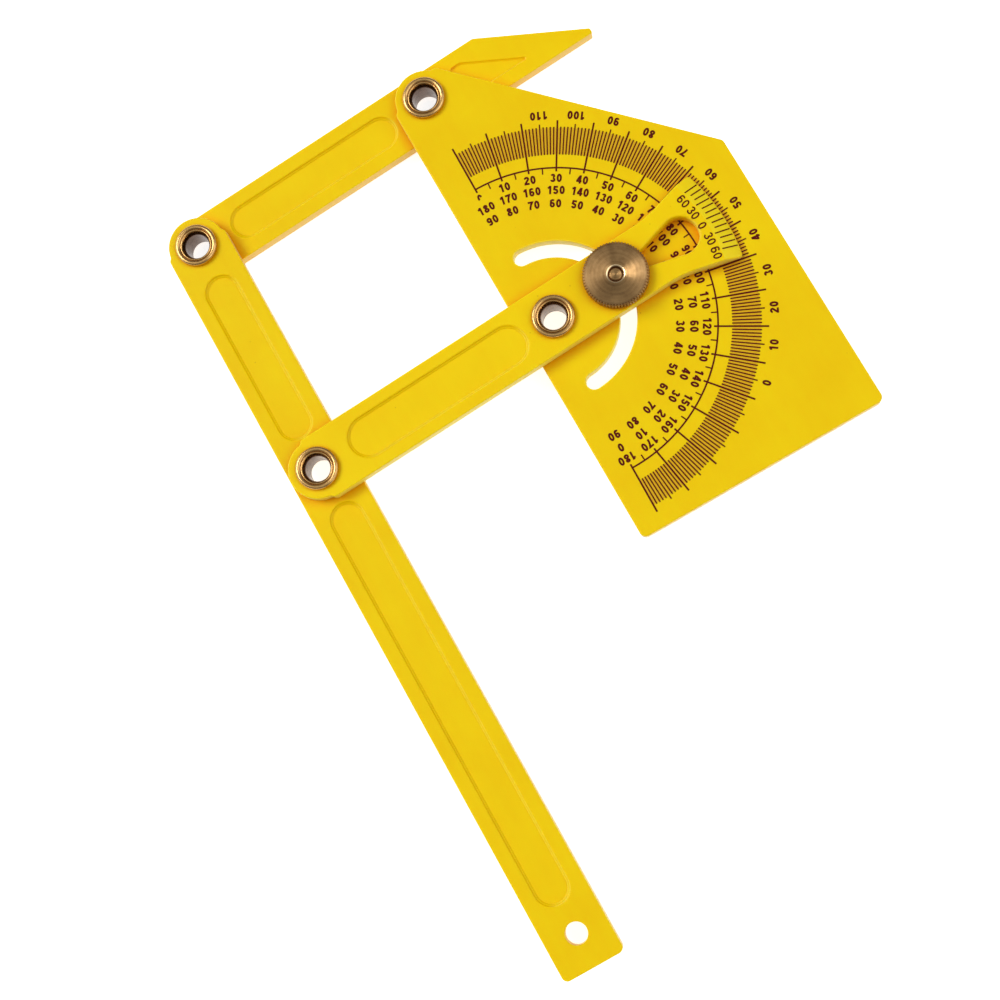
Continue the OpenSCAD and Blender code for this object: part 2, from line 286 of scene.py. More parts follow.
def yellow_plastic(name, colour, deeper, seed, rough=0.38, side=None, lit=False):
    """Solid-coloured moulded plastic: faint flow clouds, a fine mould grain, hair scratches and
    specks. Where ambient occlusion finds it closed in, it is mixed toward orange, a painted shade.
    Upright walls get the side colour as painted light; with lit, only the rims facing the key lamp, a
    painted highlight."""
    bench = Bench(name)
    where = bench.place()
    clouds = bench.noise(where, 55, 3, 0.55, seed)
    streaks = bench.noise(bench.place((1, 0.12, 1)), 420, 2, 0.5, seed + 3)
    grain = bench.noise(where, 5200, 2, 0.6, seed)
    fine = bench.noise(bench.place((0.05, 1, 1)), 2600, 1, 0.5, seed + 7)
    scratches = bench.ramp(fine, 0.68, 0.78)
    tone = bench.ramp(clouds * 0.75 + streaks * 0.25, 0.36, 0.66)
    cell = bench.node("ShaderNodeTexVoronoi", None, {"Vector": where, "Scale": 250.0})
    dusty = bench.ramp(bench.noise(where, 90, 1, 0.5, seed + 5), 0.52, 0.56)
    speck = (1 - bench.ramp(cell, 0.02, 0.045)) * dusty
    # Painted shade: where ambient occlusion finds the plastic closed in, the colour is mixed toward
    # orange.
    open_sky = bench.node("ShaderNodeAmbientOcclusion", {"samples": 8}, {"Distance": 0.004}, 1)
    closed = bench.ramp(1 - open_sky, 0.12, 0.6)
    shade = bench.mix(closed * 0.85, bench.mix(tone, deeper, colour), paint(236, 146, 0))
    shade = bench.mix(speck * 0.45, shade, paint(150, 84, 10))
    # Painted light: upright walls are mixed toward the paler side colour; with lit, only the rims and
    # walls facing the key lamp, a painted highlight.
    if side:
        normal = bench.node("ShaderNodeNewGeometry", out="Normal")
        tilt = 1 - bench.unsigned(bench.along(normal, (0, 0, 1)))
        upright = bench.ramp(tilt, 0.08, 0.5) if lit else bench.ramp(tilt, 0.4, 0.95)
        share = bench.ramp(bench.along(normal, (-0.73, 0.68, 0)), 0.05, 0.5) if lit else 0.85
        shade = bench.mix(upright * share, shade, side)
    gloss = clouds * 0.1 + scratches * 0.12 + (rough - 0.05)
    height = grain * 0.6 - scratches * 0.5 + clouds * 2
    bump = bench.node("ShaderNodeBump", None, {
        "Strength": 0.25, "Distance": 0.00004, "Height": height})
    plastic = bench.node("ShaderNodeBsdfPrincipled", None, {
        "Base Color": shade, "Roughness": gloss, "Normal": bump, "Specular IOR Level": 0.1,
        "Subsurface Weight": 0.3, "Subsurface Radius": (1, 0.7, 0.2), "Subsurface Scale": 0.001})
    return bench.close(plastic)


plate_face = yellow_plastic("plate_face", paint(238, 206, 4), paint(235, 196, 2), 1.0)
# The paler side colour of the outer walls is painted light, standing in for light in the plastic's
# thickness.
painted_light_side = paint(250, 207, 112)
# The recess walls and rims that face the key lamp are mixed toward pale yellow: a painted highlight.
recess_wall = yellow_plastic("recess_wall", paint(240, 206, 6), paint(236, 198, 3), 5.0, 0.34,
                             paint(255, 230, 76), lit=True)
plate_edge = yellow_plastic("plate_edge", paint(241, 209, 12), paint(238, 201, 4), 2.0, 0.34, painted_light_side)
# The slot's walls are a paler yellow throughout and mix toward near white: painted light for the light in
# the plastic's thickness.
slot_edge = yellow_plastic("slot_edge", paint(246, 222, 60), paint(243, 214, 40), 3.0, 0.34,
                           paint(255, 240, 138))

knuckle_lean = 8


def shoulder_curve(side, foot=0.8, bulge=1.2):
    """From the knuckle of an arm along +X out to its lower side: a small hollow, then a round."""
    hollow = polar(centre_pivot, knuckle + foot, 270 - knuckle_lean)
    rise = hollow.y + side - bulge
    middle = Vector((hollow.x + math.sqrt((foot + bulge) ** 2 - rise ** 2), bulge - side))
    way = math.degrees(math.atan2(hollow.y - middle.y, hollow.x - middle.x)) % 360
    return arc(hollow, foot, 90 - knuckle_lean, way - 180, 15)[:-1] + arc(middle, bulge, way, 270, 15)


def knuckle_end(side):
    """Round end of an arm along +X, from its upper side to its lower side."""
    low = shoulder_curve(side)
    high = [Vector((p.x, -p.y)) for p in reversed(low)]
    return high + arc(centre_pivot, knuckle, 90 + knuckle_lean, 270 - knuckle_lean)[1:-1] + low


slant_turn = 43.5
slant_out = 7.8
slant_way = polar(centre_pivot, 1, slant_turn)
slant_along = Vector((slant_way.y, -slant_way.x))
slant_start = top_pivot + slant_out * slant_way
slant_end = slant_start + slant_along * ((plate_right - slant_start.x) / slant_along.x)
slant_foot = [top_pivot + slant_along * p.x - slant_way * p.y
              for p in reversed(shoulder_curve(slant_out))]
left_foot = [top_pivot + Vector((p.y, -p.x)) for p in shoulder_curve(plate_left)]
knuckle_top = arc(top_pivot, knuckle, slant_turn + knuckle_lean, 180 - knuckle_lean)[1:-1]
plate_loop = rounded([
    (Vector((-plate_left, -plate_bottom)), plate_corner),
    (Vector((plate_right, -plate_bottom)), plate_corner),
    (slant_end, plate_corner),
] + [(p, 0) for p in slant_foot + knuckle_top + left_foot])

# The slot runs clockwise between two readings, with a half round at either end.
slot_start = 90 - 2.5
slot_end = 90 - 177.5
slot_loop = arc(centre_pivot, slot_mid + slot_half, slot_start, slot_end, 2)
slot_loop += arc(polar(centre_pivot, slot_mid, slot_end), slot_half, slot_end, slot_end - 180, 6)[1:]
slot_loop += arc(centre_pivot, slot_mid - slot_half, slot_end, slot_start, 2)[1:]
slot_loop += arc(polar(centre_pivot, slot_mid, slot_start), slot_half,
                 slot_start + 180, slot_start, 6)[1:-1]

plate = Piece()
plate_walls = [plate.wall(plate_loop, edge_up(-layer_thick, 0))]
plate_walls.append(plate.wall(slot_loop, edge_up(-layer_thick, 0, 0.25), 2))
for pivot in (centre_pivot, top_pivot):
    plate_walls.append(plate.wall(ring_of(pivot, pivot_hole), edge_up(-layer_thick, 0, hole_edge, 2)))
plate.fill([low for low, high in plate_walls], up=False)
plate.fill([high for low, high in plate_walls])
plate.done("plate_moulding", [plate_face, plate_edge, slot_edge],
           "plate", "plate_plastic", "protractor_plate")


# Printed scale: dark red-brown ink pad-printed on the plate in one go, degree ticks, a reading
# arc, three rows of numbers inside it and one row outside. The ink lies a hair above the face.
scale_r = 36.78
digit_tall = 1.95
digit_wide = 0.58
digit_pen = 0.23
ink_thick = 0.012
number_rows = (0.935, 0.858, 0.774)
outer_row = 1.338
outer_zero = 135
haze_row, haze_wide = 1.172, 6.15
arc_wide = 0.38


def swing(centre, wide, tall, start, end, count=12):
    """Points of part of an ellipse, angles in degrees."""
    return [Vector((centre[0] + wide * math.cos(math.radians(start + (end - start) * k / count)),
                    centre[1] + tall * math.sin(math.radians(start + (end - start) * k / count))))
            for k in range(count + 1)]


def strokes_of(digit, pen):
    """Centre lines of a digit one unit tall, each with True where it closes on itself."""
    near = pen / 2
    mid = digit_wide / 2
    wide = mid - near
    if digit == "0":
        # A nought is a little fuller than an ellipse between its middle and its ends.
        loop = []
        for p in swing((mid, 0.5), wide, 0.5 - near, 0, 360, 28)[:-1]:
            reach = abs(2 * p.y - 1)
            loop.append(Vector((mid + (p.x - mid) * (1 + 0.2 * reach ** 2 * (1 - reach)), p.y)))
        return [(loop, True)]
    if digit == "1":
        flag = [Vector((0.1, 0.755)), Vector((0.2, 0.77)), Vector((0.29, 0.84)), Vector((0.33, 0.97))]
        return [([Vector((0.37, 0)), Vector((0.37, 1))], False), (flag, False)]
    if digit == "2":
        head = swing((mid, 0.72), wide, 0.28 - near, 185, -35, 14)
        return [(head + [Vector((0.13, 0.2)), Vector((near, near * 0.6))], False),
                ([Vector((0, near)), Vector((0.56, near))], False)]
    if digit == "3":
        return [(swing((mid - 0.01, 0.745), wide - 0.03, 0.255 - near, 170, -90, 14), False),
                (swing((mid - 0.01, 0.285), wide, 0.285 - near, 90, -172, 16), False)]
    if digit == "4":
        return [([Vector((0.4, 0)), Vector((0.4, 1))], False),
                ([Vector((0.37, 0.95)), Vector((near * 0.7, 0.3))], False),
                ([Vector((0, 0.28)), Vector((digit_wide, 0.28))], False)]
    if digit == "5":
        return [([Vector((0.52, 1 - near)), Vector((0.15, 1 - near)), Vector((0.1, 0.48))], False),
                (swing((mid - 0.015, 0.33), wide, 0.33 - near, 140, -165, 16), False)]
    if digit == "7":
        return [([Vector((0.02, 1 - near)), Vector((0.51, 1 - near)), Vector((0.36, 0.62)),
                  Vector((0.25, 0.3)), Vector((0.22, 0))], False)]
    if digit == "8":
        return [(swing((mid, 0.755), wide - 0.03, 0.245 - near, 0, 360, 20)[:-1], True),
                (swing((mid, 0.285), wide, 0.285 - near, 0, 360, 22)[:-1], True)]
    if digit == "c":
        # What is left of a worn nought.
        return [(swing((mid, 0.5), wide, 0.5 - near, 15, 205, 14), False)]
    stem = swing((mid + 0.01, 0.72), wide - 0.01, 0.28 - near, 25, 180, 10) + [Vector((near, 0.33))]
    six = [(swing((mid, 0.325), wide, 0.325 - near, 0, 360, 22)[:-1], True), (stem, False)]
    if digit == "6":
        return six
    return [([Vector((digit_wide - p.x, 1 - p.y)) for p in line], closed) for line, closed in six]


def print_line(ink, line, width, height, lift=0, closed=False, finish=0):
    """Lays one closed film of ink along a line."""
    left, right = shifted(line, width / 2, closed), shifted(line, -width / 2, closed)
    over = lambda p: height(p) + ink_thick + lift
    under = lambda p: height(p) - ink_thick
    rings = [ink.ring(right, under), ink.ring(right, over), ink.ring(left, over), ink.ring(left, under)]
    for a, b in zip(rings, rings[1:] + rings[:1]):
        ink.band(a, b, False, finish, closed)
    if not closed:
        ink.face([ring[0] for ring in rings], False, finish)
        ink.face([ring[-1] for ring in rings[::-1]], False, finish)


def print_number(ink, text, middle, right, tall, pen, height):
    """Lays a number's strokes round its middle; right is its reading direction."""
    up = Vector((-right.y, right.x))
    pitch, stretch = 0.735, 1.07
    start = -(pitch * (len(text) - 1) + digit_wide * stretch) / 2
    for i, digit in enumerate(text):
        for k, (line, closed) in enumerate(strokes_of(digit, pen)):
            placed = [middle + tall * (right * (start + pitch * i + p.x * stretch) + up * (p.y - 0.5))
                      for p in line]
            print_line(ink, placed, pen * tall, height, 0.003 * (k + 1), closed)


def reading_way(degrees):
    """Outward direction at a reading, which runs clockwise from the plate's long edge."""
    return Vector((math.sin(math.radians(degrees)), math.cos(math.radians(degrees))))


def print_ink(name):
    """Matt pad-printing ink, a little thin in places."""
    bench = Bench(name)
    where = bench.place()
    thin = bench.ramp(bench.noise(where, 900, 3, 0.6, 4), 0.62, 0.8)
    shade = bench.mix(thin * 0.5, paint(86, 8, 2), paint(146, 60, 6))
    bump = bench.node("ShaderNodeBump", None, {"Strength": 0.2, "Distance": 0.00001,
                                               "Height": bench.noise(where, 9000, 2)})
    film = bench.node("ShaderNodeBsdfPrincipled", None, {
        "Base Color": shade, "Roughness": thin * 0.15 + 0.5, "Normal": bump, "Specular IOR Level": 0.12})
    return bench.close(film)


def on_plate(p):
    return 0


scale_ink = print_ink("scale_ink")
ink_haze = yellow_plastic("ink_haze", paint(243, 190, 26), paint(240, 180, 20), 4.0, 0.4)
scale = Piece()

# The pad landed a little off the pivot, as it does on cheap rules.
slip = Vector((-1.12, -0.94))
slip_turn = 1.005


def on_scale(degrees, share):
    return slip + reading_way(degrees + slip_turn) * scale_r * share


def scale_arc(share):
    return [on_scale(step * 1.5, share) for step in range(121)]


# Ink that crept between the close ticks warms the yellow there.
print_line(scale, scale_arc(haze_row), haze_wide, on_plate, -0.008, finish=1)
print_line(scale, scale_arc(1), arc_wide, on_plate, 0.001)
for degree in range(181):
    if degree % 10 == 0:
        inner, outer, width, lift = 0.976, 1.304, 0.4, 0.003
    elif degree % 5 == 0:
        inner, outer, width, lift = 1.084, 1.282, 0.31, 0.002
        print_line(scale, [on_scale(degree, 0.96), on_scale(degree, 1)], 0.3, on_plate, 0.002)
    else:
        inner, outer, width, lift = 1.084, 1.262, 0.31, 0.002
    print_line(scale, [on_scale(degree, inner), on_scale(degree, outer)], width, on_plate, lift)
for degree in range(0, 181, 10):
    way = reading_way(degree + slip_turn)
    along = Vector((way.y, -way.x))
    for share, number in zip(number_rows, (degree, 180 - degree, abs(90 - degree))):
        # The first nought has worn away but for a part of its bow.
        text = "c" if (degree, number) == (0, 0) else str(number)
        print_number(scale, text, on_scale(degree, share), along, digit_tall, digit_pen, on_plate)
for number in range(0, 111, 10):
    degree = outer_zero - number
    way = reading_way(degree + slip_turn)
    along = Vector((-way.y, way.x))
    print_number(scale, str(number), on_scale(degree, outer_row), along, digit_tall, digit_pen, on_plate)
scale.done("printed_scale", [scale_ink, ink_haze], "plate", "plate_plastic")


# Long arm: a straight yellow bar in the same layer as the plate, with two long shallow recesses
# in its face that keep it light, a rounded upper end and a hanging hole near its square end.
arm_half = 7.4
recess_deep = 0.7
recess_from = 8.8
recess_wide = 8
long_arm_len = 185
long_arm_corner = 1.4
recess_stop = 15
hang_inset = 8
hang_hole = 2.5


def stadium(near, far, width, frame_of):
    """Clockwise loop of a slot shape between near and far along an arm."""
    half = width / 2
    loop = arc(Vector((near + half, 0)), half, 270, 90, 6)
    loop += arc(Vector((far - half, 0)), half, 90, -90, 6)
    return [frame_of(p) for p in loop]


def sunk(top, foot=0.3, draft=0.2, rim=0.38, deep=recess_deep):
    """Steps of a recess from its floor up: soft foot, drafted wall, rounded rim."""
    turns = [math.pi / 8 * k for k in range(5)]
    low = [(-draft - foot * math.cos(a), top - deep + foot * (1 - math.cos(a))) for a in turns]
    high = [(rim * (1 - math.cos(a)), top - rim * (1 - math.sin(a))) for a in turns]
    return low + high


def down_long_arm(p):
    return Vector((corner_pivot.x + p.y, corner_pivot.y - p.x))


long_face = yellow_plastic("long_arm_face", paint(238, 206, 4), paint(235, 196, 2), 11.0)
# Its upright walls are mixed toward the paler side colour: painted light.
long_edge = yellow_plastic("long_arm_edge", paint(241, 210, 14), paint(238, 202, 4), 12.0, 0.34,
                           painted_light_side)

long_loop = rounded([
    (Vector((long_arm_len, -arm_half)), long_arm_corner),
    (Vector((long_arm_len, arm_half)), long_arm_corner),
] + [(p, 0) for p in knuckle_end(arm_half)])
long_loop = [down_long_arm(p) for p in long_loop]

long_arm = Piece()
outer = long_arm.wall(long_loop, edge_up(-layer_thick, 0))
holes = [long_arm.wall(ring_of(down_long_arm(Vector((at, 0))), hole, step=6),
                       edge_up(-layer_thick, 0, hole_edge, 2))
         for at, hole in ((0, pivot_hole), (pivot_span, pivot_hole),
                          (long_arm_len - hang_inset, hang_hole))]
recesses = []
for near, far in ((recess_from, pivot_span - recess_from),
                  (pivot_span + recess_from, long_arm_len - recess_stop)):
    floor, rim = long_arm.wall(stadium(near, far, recess_wide, down_long_arm), sunk(0), 2)
    long_arm.fill([floor])
    recesses.append(rim)
long_arm.fill([outer[0]] + [low for low, high in holes], up=False)
long_arm.fill([outer[1]] + [high for low, high in holes] + recesses)
long_arm.done("long_arm_moulding", [long_face, long_edge, recess_wall],
              "long_arm", "arm_plastic", "long_arm")


# Tip arm: the rear layer, a recessed bar whose far end runs on past the top pivot and is cut to
# a slanted tip with its own recess that follows the slant.
rear_top = -layer_thick - layer_gap
rear_bottom = rear_top - layer_thick
tip_reach = 41
tip_blunt = 1.3
tip_corner = 0.5
tip_bend_round = 2
pocket_corner = 0.8
pocket_point = 0.3
tip_angle = math.radians(29.5)
tip_margin = 5.7


def along_tip_arm(p):
    return top_pivot + p.x * short_way + p.y * Vector((-short_way.y, short_way.x))


tip_face = yellow_plastic("tip_arm_face", paint(239, 207, 5), paint(236, 198, 2), 21.0)
# Its upright walls are mixed toward the paler side colour: painted light.
tip_edge = yellow_plastic("tip_arm_edge", paint(241, 210, 14), paint(238, 202, 4), 22.0, 0.34,
                          painted_light_side)

tip_bend = tip_reach - (2 * arm_half - tip_blunt) / math.tan(tip_angle)
tip_inner = tip_bend * math.sin(tip_angle) + arm_half * math.cos(tip_angle) - tip_margin
tip_loop = rounded([
    (Vector((tip_reach, -arm_half)), tip_corner),
    (Vector((tip_reach, -arm_half + tip_blunt)), tip_corner),
    (Vector((tip_bend, arm_half)), tip_bend_round),
] + [(p - Vector((link_span, 0)), 0) for p in knuckle_end(arm_half)])
pocket_half = recess_wide / 2
tip_far = [(tip_inner - y * math.cos(tip_angle)) / math.sin(tip_angle)
           for y in (-pocket_half, pocket_half)]
tip_pocket = rounded([
    (Vector((recess_from, -pocket_half)), pocket_corner),
    (Vector((recess_from, pocket_half)), pocket_corner),
    (Vector((tip_far[1], pocket_half)), pocket_corner),
    (Vector((tip_far[0], -pocket_half)), pocket_point),
])

tip_arm = Piece()
outer = tip_arm.wall([along_tip_arm(p) for p in tip_loop], edge_up(rear_bottom, rear_top, 0.25))
holes = [tip_arm.wall(ring_of(along_tip_arm(Vector((at, 0))), pivot_hole, step=6),
                      edge_up(rear_bottom, rear_top, hole_edge, 2)) for at in (0, -link_span)]
recesses = []
for pocket, steps in (
        (stadium(recess_from - link_span, -recess_from, recess_wide, along_tip_arm), sunk(rear_top)),
        ([along_tip_arm(p) for p in tip_pocket], sunk(rear_top, 0.18, 0.08, 0.3, 0.5))):
    floor, rim = tip_arm.wall(pocket, steps, 2)
    tip_arm.fill([floor])
    recesses.append(rim)
tip_arm.fill([outer[0]] + [low for low, high in holes], up=False)
tip_arm.fill([outer[1]] + [high for low, high in holes] + recesses)
tip_arm.done("tip_arm_moulding", [tip_face, tip_edge, recess_wall],
             "tip_arm", "arm_plastic", "tip_arm")


# Pointer arm: the front layer. It turns on the centre pivot and ends in a fan with a pear-shaped
# window over the numbers; the fan's outer edge is bevelled thin so that the vernier meets the scale.
front_bottom = layer_gap
front_top = front_bottom + layer_thick
pointer_half = 7.6
fan_r = 44
fan_half = math.radians(14.8)
fan_corner = 0.8
bevel_from = 39.8
fan_rim_thick = 0.9
bevel_fall = (layer_thick - fan_rim_thick) / (fan_r - bevel_from)
hollow_r = 25
bolt_hole = 1.55
pointer_recess_wide = 9.5
pointer_recess_stop = 7.5
window_near, window_near_r = 21, 1.15
window_far, window_far_r = 33.2, 4.35


def along_pointer(p):
    return p.x * short_way + p.y * Vector((-short_way.y, short_way.x))


def pointer_top(p):
    return front_top - max(0, p.length - bevel_from) * bevel_fall * (p.x > 0)


pointer_face = yellow_plastic("pointer_face", paint(241, 210, 6), paint(238, 201, 3), 31.0)
# Its upright walls are mixed toward a pale yellow: painted light.
pointer_edge = yellow_plastic("pointer_edge", paint(243, 214, 20), paint(240, 206, 8), 32.0, 0.34,
                              paint(255, 229, 94))
pointer_bevel = yellow_plastic("pointer_bevel", paint(240, 216, 40), paint(237, 209, 22), 33.0)

fan_join = pointer_half / math.tan(fan_half)
hollow_reach = hollow_r * math.tan(fan_half / 2)
fan_degrees = math.degrees(fan_half)
corner_turn = fan_half - math.asin(fan_corner / (fan_r - fan_corner))
corner_mid = (fan_r - fan_corner) * Vector((math.cos(corner_turn), math.sin(corner_turn)))
edge_turn = math.degrees(corner_turn)
upper = arc(corner_mid, fan_corner, edge_turn, fan_degrees + 90, 12)
upper += [Vector((math.cos(fan_half), math.sin(fan_half))) * bevel_from]
hollow_mid = Vector((fan_join - hollow_reach, pointer_half + hollow_r))
upper += arc(hollow_mid, hollow_r, 270 + fan_degrees, 270, 1.5)
lower = [Vector((p.x, -p.y)) for p in reversed(upper)]
pointer_loop = [p - Vector((link_span, 0)) for p in knuckle_end(pointer_half)]
pointer_loop += lower
pointer_loop += arc(Vector((0, 0)), fan_r, -edge_turn, edge_turn, 1)[1:-1]
pointer_loop += upper
pointer_loop = [along_pointer(p) for p in pointer_loop]

window_lean = (window_far_r - window_near_r) / (window_far - window_near)
tangent = 90 + math.degrees(math.asin(window_lean))
window_loop = arc(Vector((window_near, 0)), window_near_r, 360 - tangent, tangent, 8)
window_loop += arc(Vector((window_far, 0)), window_far_r, tangent, -tangent, 5)
window_loop = [along_pointer(p) for p in window_loop]

pointer = Piece()
outer = pointer.wall(pointer_loop, edge_up(front_bottom, pointer_top, 0.3))
window = pointer.wall(window_loop, edge_up(front_bottom, front_top, 0.5), 3)
holes = [pointer.wall(ring_of(along_pointer(Vector((at, 0))), hole, step=6),
                      edge_up(front_bottom, front_top, hole_edge, 2))
         for at, hole in ((0, pivot_hole), (-link_span, pivot_hole), (slot_mid, bolt_hole))]
recess = stadium(recess_from - link_span, -pointer_recess_stop, pointer_recess_wide, along_pointer)
floor, recess_rim = pointer.wall(recess, sunk(front_top), 3)
pointer.fill([floor])
pointer.fill([outer[0], window[0]] + [low for low, high in holes], up=False)

# The bevel is a cone, so the face above it stops at an arc between the two sides of the fan.
rim = outer[1]
rim_flat = [Vector(pointer.points[k][:2]) for k in rim]
crossing = [i for i, p in enumerate(rim_flat) if abs(p.length - bevel_from) < 0.12]
first, last = crossing[0], crossing[-1]
start, end = (math.degrees(math.atan2(rim_flat[i].y, rim_flat[i].x)) for i in (first, last))
crease = pointer.ring(arc(centre_pivot, bevel_from, start, end, 1)[1:-1], front_top)
face_rim = rim[:first + 1] + crease + rim[last:]
pointer.fill([face_rim, window[1], recess_rim] + [high for low, high in holes])
pointer.fill([rim[first:last + 1] + crease[::-1]], soft=True, finish=2)
pointer.done("pointer_moulding", [pointer_face, pointer_edge, pointer_bevel, recess_wall],
             "pointer_arm", "pointer_plastic", "pointer_arm")


# Vernier: fine ink lines down the bevel, thirteen of them eleven sixths of a degree apart, and
# their numbers of minutes in a light hand on the flat just above it, a little to one side.
vernier = Piece()
tilt_degrees = math.degrees(rest_tilt)
tick_apart = 11 / 6
tick_wide = 0.3
tick_end_r = 43.75
minutes_r = 38.55
minutes_tall, minutes_pen = 2.05, 0.165
minutes_squeeze, minutes_slip = 0.945, 1.2
for step in range(-6, 7):
    turn = tilt_degrees + step * tick_apart
    start = 40.1 if step % 3 == 0 else 40.7
    tick = [polar(centre_pivot, radius, turn) for radius in (start, tick_end_r)]
    print_line(vernier, tick, tick_wide, pointer_top)
for step, text in ((6, "60"), (3, "30"), (0, "0"), (-3, "30"), (-6, "60")):
    way = polar(centre_pivot, 1, tilt_degrees + step * tick_apart * minutes_squeeze - minutes_slip)
    print_number(vernier, text, way * minutes_r, Vector((way.y, -way.x)),
                 minutes_tall, minutes_pen, pointer_top)
vernier.done("printed_vernier", [scale_ink], "pointer_arm", "pointer_plastic")


# Eyelets: four short brass tubes rolled over at both ends, which rivet the layers together and
# let them turn. Drawn from sheet, so the mouth flares smoothly into a polished rolled bead.
def polished_brass(name, colour, darker, seed):
    bench = Bench(name)
    where = bench.place()
    stain = bench.ramp(bench.noise(where, 700, 4, 0.6, seed), 0.4, 0.72)
    spots = bench.ramp(bench.noise(where, 2600, 2, 0.5, seed + 2), 0.6, 0.75)
    shade = bench.mix(stain * 0.6 + spots * 0.25, colour, darker)
    bump = bench.node("ShaderNodeBump", None, {
        "Strength": 0.16, "Distance": 0.00002,
        "Height": bench.noise(where, 3200, 3, 0.6, seed) + bench.noise(where, 900, 1, 0.5, seed + 1) * 2})
    metal = bench.node("ShaderNodeBsdfPrincipled", None, {
        "Base Color": shade, "Metallic": 1.0, "Roughness": stain * 0.14 + 0.2, "Normal": bump})
    return bench.close(metal)


eyelet_brass = polished_brass("eyelet_brass", paint(214, 172, 108), paint(150, 108, 62), 5.0)
# Painted shade: a dark brown brass where the mouth folds in and turns down into the bore, and in the
# nut's tooth valleys and thread.
painted_shade_brass = polished_brass("painted_shade_brass", paint(128, 84, 46), paint(92, 58, 32), 6.0)
bore_brass = polished_brass("bore_brass", paint(104, 80, 64), paint(74, 54, 40), 7.0)


def rolled_mouth():
    """One rolled end above its face as (radius, height, finish): the bead, a crease where the lip
    folds in, the flared lip and the bore."""
    bead = [(p.x, p.y, 0) for p in arc(Vector((4.3, 0.6)), 0.6, -75, 150, 10)]
    # Finish 1 is painted shade, at the fold of the lip and at the edge of the bore.
    lip = [(3.73, 0.84, 1), (3.67, 0.9, 0), (3.58, 0.97, 0), (3.48, 0.98, 0), (3.38, 0.92, 0),
           (3.28, 0.78, 0), (3.16, 0.55, 0), (3.02, 0.25, 1),
           (2.9, -0.1, 2), (2.83, -0.4, 2), (2.8, -0.7, 2)]
    return [(3.2, 0.0, 0), (4.3, 0.0, 0)] + bead + lip


def eyelet(name, centre, low, high, body, node):
    mouth = rolled_mouth()
    profile = [(r, high + z, k) for r, z, k in mouth] + [(r, low - z, k) for r, z, k in reversed(mouth)]
    piece = Piece()
    rings = [piece.ring(ring_of(centre, r, False, 3.75), z) for r, z, finish in profile]
    for i, (r, z, finish) in enumerate(profile):
        piece.band(rings[i], rings[(i + 1) % len(rings)], finish=finish)
    piece.done(name, [eyelet_brass, painted_shade_brass, bore_brass], body, "eyelet_brass", node, sharp=40)


eyelet("top_pivot_eyelet", top_pivot, rear_bottom - layer_gap, 0, "plate", "top_eyelet")
eyelet("corner_pivot_eyelet", corner_pivot, rear_bottom, layer_gap, "tip_arm", "corner_eyelet")
eyelet("lower_pivot_eyelet", lower_pivot, -layer_thick - layer_gap, front_top,
       "pointer_arm", "lower_eyelet")
eyelet("centre_pivot_eyelet", centre_pivot, -layer_thick, front_top + layer_gap,
       "plate", "centre_eyelet")


# Clamp bolt: a turned brass bolt from behind. Its square neck slides in the curved slot, and
# its end shows in the middle of the nut.
def turned_brass(name, colour, darker, centre, seed):
    """Lathe-turned brass that has dulled: fine rings round its axis, brown in the hollows."""
    bench = Bench(name)
    where = bench.node("ShaderNodeTexCoord", out="Object")
    spot = bench.node("ShaderNodeVectorMath", {"operation": "SUBTRACT"},
                      {0: where, 1: (centre.x * mm, centre.y * mm, 0)})
    flat = bench.node("ShaderNodeVectorMath", {"operation": "MULTIPLY"}, {0: spot, 1: (1, 1, 0)})
    radius = bench.node("ShaderNodeVectorMath", {"operation": "LENGTH"}, {0: flat}, "Value")
    line = bench.node("ShaderNodeCombineXYZ", None, {"X": radius})
    groove = bench.ramp(bench.noise(line, 2000, 3, 0.75, seed), 0.34, 0.66)
    stain = bench.ramp(bench.noise(where, 420, 4, 0.65, seed), 0.36, 0.7)
    shade = bench.mix(stain * 0.5 + groove * 0.5, colour, darker)
    grain = bench.noise(where, 5000, 2, 0.6, seed)
    bump = bench.node("ShaderNodeBump", None, {"Strength": 0.6, "Distance": 0.00003,
                                               "Height": groove + grain * 0.4})
    metal = bench.node("ShaderNodeBsdfPrincipled", None, {
        "Base Color": shade, "Metallic": 1.0, "Roughness": stain * 0.12 + 0.3, "Normal": bump,
        "Anisotropic": 0.8, "Anisotropic Rotation": 0.25})
    return bench.close(metal)


bolt_place = slot_mid * short_way
bolt_brass = turned_brass("bolt_brass", paint(196, 158, 106), paint(120, 88, 52), bolt_place, 8.0)
bolt = Piece()
neck_half = 1.7
shank_r = 1.5
square_neck = [along_pointer(Vector((slot_mid + x * neck_half, y * neck_half)))
               for x, y in ((-1, -1), (1, -1), (1, 1), (-1, 1))]
head = [bolt.ring(ring_of(bolt_place, r, False, 5), -layer_thick + z) for r, z in
        ((0.6, -1.42), (1.8, -1.46), (3.0, -1.5), (3.7, -1.5),
         (3.88, -1.42), (4.0, -1.2), (4.0, -0.15), (3.88, 0))]
for low, high in zip(head, head[1:]):
    bolt.band(low, high)
bolt.fill([head[0]], up=False)
neck = [bolt.ring(shifted(square_neck, shift), z) for shift, z in
        ((0, -layer_thick), (0, -0.45), (0.15, -0.3))]
bolt.fill([head[-1], neck[0][::-1]])
for low, high in zip(neck, neck[1:]):
    bolt.band(low, high, soft=False)
shank = [bolt.ring(ring_of(bolt_place, r, False, 7.5), z) for r, z in
         ((shank_r, -0.3), (shank_r, 5.4), (1.42, 5.53), (1.2, 5.7), (0.5, 5.66))]
bolt.fill([neck[-1], shank[0][::-1]])
for low, high in zip(shank, shank[1:]):
    bolt.band(low, high)
bolt.fill([shank[-1]])
bolt.done("clamp_bolt_brass", [bolt_brass], "clamp_bolt", "clamp_brass", "clamp_bolt", sharp=35)


